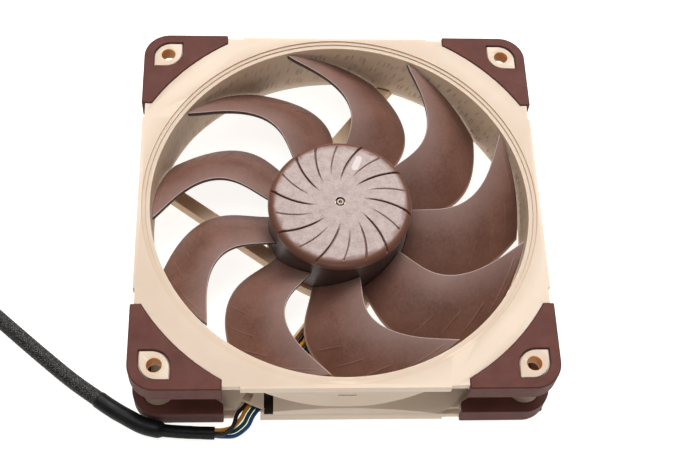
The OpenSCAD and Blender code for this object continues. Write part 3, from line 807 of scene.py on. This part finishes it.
# Strength of each groove round the hub, from 0 to 1
DEEP, MEDIUM, THIN = 1.0, 0.7, 0.4
GROOVE_STRENGTH = [THIN, DEEP, THIN, DEEP, THIN, MEDIUM, DEEP, THIN, DEEP,
                   THIN, DEEP, THIN, DEEP, THIN, MEDIUM, DEEP, THIN, DEEP]
BLADES = 9
TIP_R = 55.4
BLADE_T = 1.9
BLADE_ROOT = 0.55
BLADE_TAPER = 0.6
BLADE_BOW = 0.3
BLADE_SHARP = 50  # degrees from which an edge is shown sharp
# How far a blade is rounded: shares of the chord at its two edges, and millimetres at its tip
NOSE = 0.007
TAIL = 0.008
TIP_ROUND = 0.25
# Fine raised arcs on a blade: radius, and the shares of the chord where each starts and ends.
# A blade is cut at these distances on both sides of each of them.
RIDGES = ((42, 0.60, 0.86), (47, 0.55, 0.84), (51, 0.50, 0.80))
LIP = (53.6, 0.08, 0.62)
RIDGE_CUTS = (-0.42, -0.28, -0.16, -0.08, 0, 0.08, 0.16, 0.28, 0.42)
# Stations along a blade: radius, angle and height of the leading edge, then of the trailing edge
BLADE = [
    (20, 5.9, 13.9, -33.9, 5.8),
    (29, 2.3, 16.7, -30.0, 6.1),
    (38, 4.1, 18.8, -26.3, 6.3),
    (47, 14.7, 20.8, -16.4, 6.5),
    (TIP_R, 26.1, 22.9, -3.8, 6.8),
]
# Shares of the chord at which a blade is cut near its leading edge, and each one's painted light on the upper
# side: 1 for painted shade on the blunt face, below 0 for the painted highlight line that runs beside it
NOSE_CUTS = {0: 1, 0.0006: 1, 0.002: 1, 0.0042: -0.2, 0.007: -1, 0.012: -0.8, 0.02: 0}
CHORD_CUTS = [*NOSE_CUTS] + [0.03 + 0.0305 * i for i in range(32)] + [0.985, 0.993, 0.998, 1]

# The plain mark on the hub's face: its middle, half its straight part, and its two outlines as
# end radius and height over the face
MARK_CENTRE = Vector((5.3, 13.3, 0))
MARK_HALF = 1.7
MARK_RINGS = ((0.98, 0.04), (1.06, -0.02))
MARK_AROUND = 48


def groove_depth(r, a):
    """How far the hub's face is sunk at a radius and an angle, by the nearest groove."""
    deepest = 0.0
    for k, strength in enumerate(GROOVE_STRENGTH):
        turn = a - math.radians(GROOVE_FIRST + 360 / len(GROOVE_STRENGTH) * k)
        x, y = r * math.cos(turn), r * math.sin(turn)
        if x < 0 or abs(y) > GROOVE_REACH:
            continue
        dx, dy = x - GROOVE_CENTRE[0], y - GROOVE_CENTRE[1]
        # A stronger groove is wider, starts further in and ends further out
        inner_end = 92 + 6 * strength
        along = smooth(inner_end, inner_end - 13, math.degrees(math.atan2(dy, dx)))
        half_width = (0.07 + 0.17 * strength) * (0.35 + 0.65 * along)
        offset = abs(math.hypot(dx, dy) - GROOVE_R)
        outer_end = 18.6 + 2.6 * strength
        reach = along * (1 - smooth(outer_end - 0.5, outer_end + 0.3, r))
        profile = 1 - smooth(half_width - 0.06, half_width + 0.08, offset)
        deepest = max(deepest, GROOVE_DEPTH * strength * reach * profile)
    return deepest * smooth(*PLAIN_MIDDLE, r)


def make_hub(material):
    """Cup with a grooved face, a rounded overhanging rim and a boss inside, turned as one closed skin."""
    grooved = [(r, HUB_TOP) for r in FACE_RADII]
    # The rim's quarter of an ellipse, cut every six degrees
    for a in range(86, -1, -6):
        grooved.append((RIM_FLAT_R + (HUB_R - RIM_FLAT_R) * math.cos(math.radians(a)),
                        RIM_LOW_Z + (HUB_TOP - RIM_LOW_Z) * math.sin(math.radians(a))))
    points = [(r * math.cos(a), r * math.sin(a), z - groove_depth(r, a))
              for r, z in grooved for a in turns(HUB_AROUND)]
    points += [(r * math.cos(a), r * math.sin(a), z) for r, z in HUB_PROFILE for a in turns(HUB_AROUND)]
    faces = skin_faces(len(grooved + HUB_PROFILE), HUB_AROUND)
    last = len(points) - HUB_AROUND
    for k in range(HUB_AROUND):
        n = (k + 1) % HUB_AROUND
        faces.append((last + k, last + n, n, k))
    hub = new_piece("hub_cup", points, [f[::-1] for f in faces], ROTOR, material)
    store(hub.data, "chord", [HUB_CHORD] * len(points))
    hub.data.set_sharp_from_angle(angle=math.radians(HUB_SHARP))
    return hub


def station(r, column):
    """Lagrange polynomial through the blade's stations."""
    total = 0.0
    for i, here in enumerate(BLADE):
        share = 1.0
        for j, other in enumerate(BLADE):
            if j != i:
                share *= (r - other[0]) / (here[0] - other[0])
        total += here[column] * share
    return total


def blade_relief(r, s):
    """Height of the fine arcs on the rear half of a blade's upper side, and of the lip near its tip."""
    height = 0.0
    for place, start, end in RIDGES:
        ridge = math.exp(-((r - place) / 0.17) ** 2)
        height += 0.2 * ridge * smooth(start, start + 0.05, s) * (1 - smooth(end, end + 0.05, s))
    place, start, end = LIP
    lip = math.exp(-((r - place) / 0.16) ** 2)
    return height + 0.12 * lip * smooth(start, start + 0.06, s) * (1 - smooth(end, end + 0.08, s))


def blade_radii():
    """Radii at which a blade is cut, closer together at its fine ridges and its tip."""
    radii = {20.4 + 0.875 * i for i in range(40)} | {TIP_R - 0.2, TIP_R - 0.06, TIP_R}
    for place, _, _ in (*RIDGES, LIP):
        radii |= {place + step for step in RIDGE_CUTS}
    ordered = []
    for r in sorted(radii):
        if r <= TIP_R and (not ordered or r - ordered[-1] > 0.05):
            ordered.append(r)
    return ordered


def make_blade(k, material):
    """Blade from rings that run round its chord, under its lower side and back over its upper side."""
    radii = blade_radii()
    turn = 360 * k / BLADES
    points, painted_edge_light, shares = [], [], []
    for r in radii:
        lead_a, lead_z, trail_a, trail_z = (station(r, column) for column in (1, 2, 3, 4))
        outward = (r - HUB_WALL_R) / (TIP_R - HUB_WALL_R)
        thick = BLADE_T * (BLADE_ROOT + (1 - BLADE_ROOT) * outward)
        tip = math.sqrt(max(0.04, 1 - max(0, (r - TIP_R + TIP_ROUND) / TIP_ROUND) ** 2))
        for up in (-1, 1):
            for s in (CHORD_CUTS if up < 0 else CHORD_CUTS[::-1]):
                a = math.radians(turn + lead_a + (trail_a - lead_a) * s)
                z = lead_z + (trail_z - lead_z) * (s - BLADE_BOW * s * (1 - s))
                nose = math.sqrt(1 - max(0, 1 - s / NOSE) ** 2)
                tail = math.sqrt(1 - max(0, 1 - (1 - s) / TAIL) ** 2)
                half = 0.5 * thick * (1 - BLADE_TAPER * s) * nose * tail * tip
                if up > 0:
                    half += blade_relief(r, s)
                points.append((r * math.cos(a), r * math.sin(a), z + up * half))
                # Painted light near the nose: shade on its underside, shade and a highlight line on its upper
                # side
                painted_edge_light.append(NOSE_CUTS.get(s, 0) if up > 0 else float(s < 0.01))
                shares.append(s)
    faces = capped_skin(len(radii), 2 * len(CHORD_CUTS))
    blade = new_piece("blade_%d" % (k + 1), points, faces, ROTOR, material)
    store(blade.data, "edge", painted_edge_light)
    store(blade.data, "chord", shares)
    bm = bmesh.new()
    bm.from_mesh(blade.data)
    bmesh.ops.remove_doubles(bm, verts=bm.verts, dist=MERGE * MM)
    bmesh.ops.recalc_face_normals(bm, faces=bm.faces)
    bm.to_mesh(blade.data)
    bm.free()
    blade.data.set_sharp_from_angle(angle=math.radians(BLADE_SHARP))
    return blade


def make_hub_mark():
    """Plain blank mark on the hub's face, a short stroke with round ends that points outwards."""
    out = MARK_CENTRE.normalized()
    across = Vector((-out.y, out.x, 0))
    points = [(*MARK_CENTRE.xy, HUB_TOP + MARK_RINGS[0][1])]
    for r, lift in MARK_RINGS:
        for k in range(MARK_AROUND):
            a = 2 * math.pi * (k + 0.5) / MARK_AROUND
            end = math.copysign(MARK_HALF, math.cos(a)) + r * math.cos(a)
            height = Vector((0, 0, HUB_TOP + lift))
            points.append(tuple(MARK_CENTRE + end * out + r * math.sin(a) * across + height))
    faces = []
    for k in range(MARK_AROUND):
        this, other = 1 + k, 1 + (k + 1) % MARK_AROUND
        faces.append((0, this, other))
        faces.append((this, this + MARK_AROUND, other + MARK_AROUND, other))
    new_piece("hub_mark", points, faces, ROTOR, printed_mark(), smooth=False)


def make_impeller():
    material = impeller_plastic()
    pieces = [make_hub(material)] + [make_blade(k, material) for k in range(BLADES)]
    for piece in pieces:
        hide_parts("impeller")
    make_hub_mark()


# ---------------------------------------------------------------- CAD nodes that stay

# Width in millimetres and number of steps of the rounded edges, by material slot
EDGES = {"housing_plastic": (0.22, 3), "pad_silicone": (0.42, 4), "connector_black": (0.25, 3)}
SMALL_EDGE = (0.08, 2)
# Faces that turn less than this, in degrees, are joined before the edges are rounded
FLAT_ANGLE = 0.4


def bevel_edges(piece, width_mm, segments, angle=30, dissolve=False, clamp=True):
    """Rounds a piece's sharp edges and keeps its flat faces flat in shading."""
    weld = piece.modifiers.new("weld", "WELD")
    weld.merge_threshold = MERGE * MM
    if dissolve:
        flat = piece.modifiers.new("flat", "DECIMATE")
        flat.decimate_type = "DISSOLVE"
        flat.angle_limit = math.radians(FLAT_ANGLE)
    bevel = piece.modifiers.new("bevel", "BEVEL")
    bevel.width = width_mm * MM
    bevel.segments = segments
    bevel.limit_method = "ANGLE"
    bevel.angle_limit = math.radians(angle)
    bevel.use_clamp_overlap = clamp
    normals = piece.modifiers.new("normals", "WEIGHTED_NORMAL")
    normals.keep_sharp = True


def node_materials():
    """The material for each of the record's material slots that CAD nodes show."""
    return {
        "housing_plastic": housing_plastic("cream_plastic", (0.475, 0.375, 0.29), (0.51, 0.41, 0.325)),
        "pad_silicone": pad_silicone(),
        "brass_part": metal("turned_brass", (0.62, 0.42, 0.17), (0.80, 0.60, 0.28), 0.25),
        "sintered_bronze": metal("sintered_bronze", (0.36, 0.22, 0.11), (0.52, 0.34, 0.19), 0.5, 0.15),
        "steel": metal("drawn_steel", (0.42, 0.43, 0.44), (0.62, 0.63, 0.64), 0.28),
        "lamination_steel": metal("stacked_steel", (0.28, 0.29, 0.30), (0.46, 0.47, 0.48), 0.4),
        "insulator_plastic": plastic("insulator_plastic", (0.72, 0.70, 0.62), (0.82, 0.80, 0.73)),
        "winding_copper": metal("enamelled_wire", (0.38, 0.10, 0.03), (0.66, 0.24, 0.09), 0.3, 0.25),
        "board_green": plastic("solder_mask", (0.012, 0.09, 0.03), (0.025, 0.15, 0.06), 0.3),
        "chip_black": plastic("chip_plastic", (0.012, 0.012, 0.013), (0.03, 0.03, 0.032), 0.5),
        "component_tan": plastic("ceramic_parts", (0.33, 0.22, 0.13), (0.52, 0.38, 0.24), 0.4),
        "label_film": plastic("blank_film", (0.48, 0.46, 0.44), (0.56, 0.54, 0.52), 0.35),
        "connector_black": plastic("connector_plastic", (0.012, 0.012, 0.013), (0.03, 0.03, 0.032), 0.42),
        "terminal_tin": metal("tinned_contact", (0.55, 0.55, 0.53), (0.75, 0.75, 0.72), 0.3),
        "ferrite": plastic("bonded_ferrite", (0.03, 0.03, 0.032), (0.06, 0.06, 0.062), 0.6),
        "clip_plastic": plastic("clip_plastic", (0.66, 0.66, 0.62), (0.76, 0.76, 0.72)),
    }


def special_materials():
    """Nodes that look unlike the rest of their slot: thin struts with a painted glow of the light that shines
    through them, dark shaft.
    """
    # The struts' amber colour is a painted glow of the light that shines through them
    amber = housing_plastic("strut_painted_glow", (0.46, 0.25, 0.10), (0.55, 0.32, 0.15))
    special = {bar: amber for bar in ("strut_1", "strut_2", "strut_3", "wire_strut")}
    special["shaft"] = metal("shaft_steel", (0.10, 0.08, 0.075), (0.19, 0.165, 0.155), 0.42)
    return special


def dress_nodes():
    """Gives every CAD node that still shows its material and its rounded edges."""
    materials = node_materials()
    special = special_materials()
    for part in frame["record"]["subparts"]:
        slot = part["material_slot"]
        node = NODES[part["node"]]
        if slot not in materials:
            continue
        node.data.materials.clear()
        node.data.materials.append(special.get(part["node"], materials[slot]))
        for face in node.data.polygons:
            face.use_smooth = True
        width, segments = EDGES.get(slot, SMALL_EDGE)
        bevel_edges(node, width, segments, dissolve=True, clamp=slot != "pad_silicone")


make_lead()
make_stage()
make_impeller()
dress_nodes()
